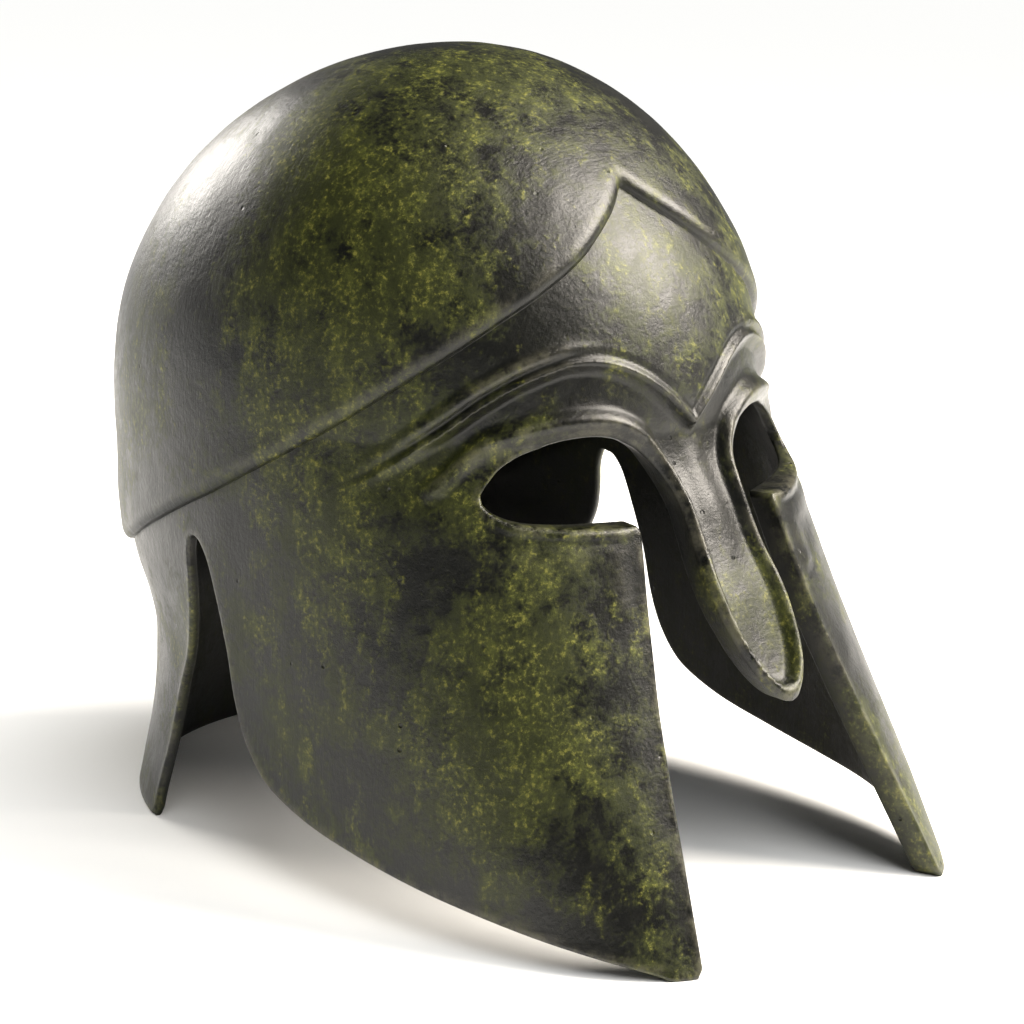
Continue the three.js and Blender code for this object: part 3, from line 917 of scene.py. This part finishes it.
@dataclass
class Skull(CastPiece):
    """Raised skull, a closed shell from the step line to the crown.

    Attributes:
        bevel: width of the rounded step at its edge.
        tuck: how far the shell runs on below the step line, under the plate's surface.
    """

    bevel: float = 4.6
    tuck: float = 1.2

    def rows(self, bearings: Array, above: Array, rising: int) -> Array:
        """Return the heights of the rows: set distances above the step line, then to the crown."""
        step = self.form.step_height(bearings)
        spread = 2.0 * math.pi * 95.0 / 360.0
        slope = np.gradient(step, bearings) / spread
        low = step + above[:, None] * np.sqrt(1.0 + np.minimum(slope**2, 1.0))
        start = low[-1]
        t = np.linspace(0.0, 1.0, rising + 1)[1:-1, None]
        top = self.form.base + self.form.rise
        return np.vstack([low, start + (top - start) * np.sin(t * math.pi / 2.0)])

    def shell(self, bearings: Array, heights: Array, proud: Array) -> Array:
        """Return rows of points at a distance above the plain surface."""
        around = np.broadcast_to(bearings, heights.shape)
        return self.form.surface(around, heights) + self.form.normal(around, heights) * proud[..., None]

    def build(self, material: bpy.types.Material) -> bpy.types.Object:
        """Make the piece.

        At a distance d above the step line the outside stands proud by h sqrt(1 - (1 - d / w)^2),
        a quarter ellipse of width w and height h, and by h from there to the crown.
        """
        bearings = both_ways(spaced((0, 60, 0.75), (60, 180, 1.5)))
        above = np.array([-self.tuck, -0.4, 0.0, 0.05, 0.2, 0.45, 0.8, 1.3, 1.9, 2.7, 3.6, 4.6, 6.0, 8.0])
        outer_heights = self.rows(bearings, above, 66)
        distance = np.concatenate([above, np.full(len(outer_heights) - len(above), 99.0)])[:, None]
        left = 1.0 - np.clip(distance / self.bevel, 0.0, 1.0)
        proud = self.form.raised * np.sqrt(1.0 - left**2) - 1.1 * ease(-distance / self.tuck)
        proud = np.broadcast_to(proud, outer_heights.shape)
        around = np.broadcast_to(bearings, outer_heights.shape)
        plain = self.form.surface(around, outer_heights)
        dip = self.form.unevenness(plain) * np.clip(distance / 3.0, 0.0, 1.0)
        outer = self.shell(bearings, outer_heights, proud - dip)
        inner_heights = self.rows(bearings, np.array([-self.tuck, 2.0, 8.0]), 26)
        depth = self.form.wall_depth(np.broadcast_to(bearings, inner_heights.shape), inner_heights)
        depth[0] -= 0.3
        inner = self.shell(bearings, inner_heights, -depth)
        top = self.form.base + self.form.rise
        crown = np.array([[0.0, self.form.lean, top + self.form.raised - 0.15]])
        vault = np.array([[0.0, self.form.lean, top - depth[-1].mean()]])
        n = len(bearings)
        outer_count = outer_heights.size
        inner_start = outer_count + 1
        ring = np.arange(n)
        after = (ring + 1) % n
        last_outer = outer_count - n
        vault_point = inner_start + inner_heights.size
        last_inner = vault_point - n
        faces = np.vstack([
            band_faces(n, len(outer_heights)),
            np.stack([last_outer + ring, last_outer + after, np.full(n, outer_count)], axis=1),
            band_faces(n, len(inner_heights))[:, ::-1] + inner_start,
            np.stack([last_inner + after, last_inner + ring, np.full(n, vault_point)], axis=1),
            np.stack([after, ring, inner_start + ring], axis=1),
            np.stack([after, inner_start + ring, inner_start + after], axis=1),
        ])
        points = np.vstack([outer.reshape(-1, 3), crown, inner.reshape(-1, 3), vault])
        flat = np.broadcast_to(distance, outer_heights.shape).ravel()
        # Rubbed wear on the step's bevel, partly a painted highlight along it.
        wear_and_highlight = np.concatenate([0.4 * hump(flat, 3.0, 2.6), [0.0], np.zeros(inner_heights.size + 1)])
        # Painted shade: darker along the crease at the step line round the skull.
        painted_crease_shade = np.concatenate([0.7 * hump(flat, 0.0, 1.0), [0.0], np.zeros(inner_heights.size + 1)])
        # The inside is marked for painted shade.
        inside = np.concatenate([np.zeros(outer_count + 1), np.ones(inner_heights.size + 1)])
        return self.place(points, faces, {"painted_crease_shade": painted_crease_shade, "wear_and_highlight": wear_and_highlight, "inside": inside}, material)


@dataclass(frozen=True)
class Studio:
    """Pale floor, soft lights and the camera.

    Attributes:
        aim: the point that the camera looks at, in metres.
        azimuth, elevation: where the camera stands, in degrees.
        distance: how far it stands from that point.
        lens: focal length in millimetres on a 36 mm sensor.
    """

    aim: tuple[float, float, float] = (0.0, -0.0122, 0.1093)
    azimuth: float = -44.0
    elevation: float = 13.5
    distance: float = 0.880
    lens: float = 90.0

    def aimed(self, name: str, data: bpy.types.ID, place: tuple[float, float],
              distance: float) -> bpy.types.Object:
        """Stand a camera or a light so that it faces the aim.

        Args:
            name: name of the object.
            data: the camera or light.
            place: its bearing and its height angle, in degrees.
            distance: its distance from the aim, in metres.

        Returns:
            The object.
        """
        turn, lift = (math.radians(angle) for angle in place)
        level = math.cos(lift)
        away = Vector((math.sin(turn) * level, -math.cos(turn) * level, math.sin(lift)))
        stood = bpy.data.objects.new(name, data)
        stood.location = Vector(self.aim) + away * distance
        facing = Vector(self.aim) - stood.location
        stood.rotation_euler = facing.to_track_quat("-Z", "Y").to_euler()
        bpy.context.collection.objects.link(stood)
        return stood

    def camera(self) -> None:
        """Set the camera."""
        data = bpy.data.cameras.new("camera")
        data.lens = self.lens
        data.sensor_width = 36.0
        data.clip_start = 0.01
        data.clip_end = 60.0
        place = (self.azimuth, self.elevation)
        bpy.context.scene.camera = self.aimed("camera", data, place, self.distance)

    def light(self, place: Place, power: float, size: float, distance: float, colour: str) -> None:
        """Set one soft light that faces the helmet."""
        data = bpy.data.lights.new(place.name.lower() + "_light", "AREA")
        data.shape = "DISK"
        data.size = size
        data.energy = power
        data.color = linear(colour)[:3]
        self.aimed(data.name, data, place.value, distance)

    def daylight(self, place: Place, strength: float, spread: float) -> None:
        """Set the broad light that reaches the whole floor evenly and isn't mirrored."""
        data = bpy.data.lights.new(place.name.lower() + "_light", "SUN")
        data.energy = strength
        data.angle = math.radians(spread)
        light = self.aimed(data.name, data, place.value, 3.0)
        light.visible_glossy = False

    def floor(self) -> None:
        """Lay the plain pale floor."""
        mesh = bpy.data.meshes.new("floor")
        mesh.from_pydata([(-30, -30, 0), (30, -30, 0), (30, 30, 0), (-30, 30, 0)], [], [(0, 1, 2, 3)])
        floor = bpy.data.objects.new("floor", mesh)
        material = bpy.data.materials.new("matt_white_floor")
        material.use_nodes = True
        shader = material.node_tree.nodes["Principled BSDF"]
        shader.inputs["Base Color"].default_value = linear("#f4f4f2")
        shader.inputs["Roughness"].default_value = 0.9
        shader.inputs["Specular IOR Level"].default_value = 0.1
        mesh.materials.append(material)
        bpy.context.collection.objects.link(floor)

    def surroundings(self) -> None:
        """Set the room: its white walls are seen as white, but they light the helmet dimly."""
        world = bpy.data.worlds.new("white_room")
        world.use_nodes = True
        tree = world.node_tree
        seen = add(tree, "ShaderNodeLightPath", output="Is Camera Ray")
        strength = add(tree, RANGE, {}, {"Value": seen, "To Min": 0.13, "To Max": 1.0})
        background = tree.nodes["Background"]
        background.inputs["Color"].default_value = linear("#ffffff")
        tree.links.new(strength, background.inputs["Strength"])
        bpy.context.scene.world = world
        bpy.context.scene.view_settings.view_transform = "Standard"

    def build(self) -> None:
        """Set up the floor, the lights and the camera."""
        self.surroundings()
        self.floor()
        self.daylight(Place.SKY, 3.7, 70.0)
        self.light(Place.KEY, 60.0, 0.9, 1.4, "#fff6ea")
        self.light(Place.SIDE, 13.0, 0.6, 1.4, "#fffaf2")
        self.camera()


def main() -> None:
    """Build the pieces in order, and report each."""
    logging.basicConfig(level=logging.INFO, format="%(message)s")
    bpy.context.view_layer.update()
    form = HelmetForm()
    bronze = PatinatedBronze().material()
    for piece in (Face("helmet_face", form), Skull("helmet_skull", form)):
        made = piece.build(bronze)
        LOG.info("%s: %d triangles", made.name, len(made.data.polygons))
    Studio().build()


if __name__ == "__main__":
    main()
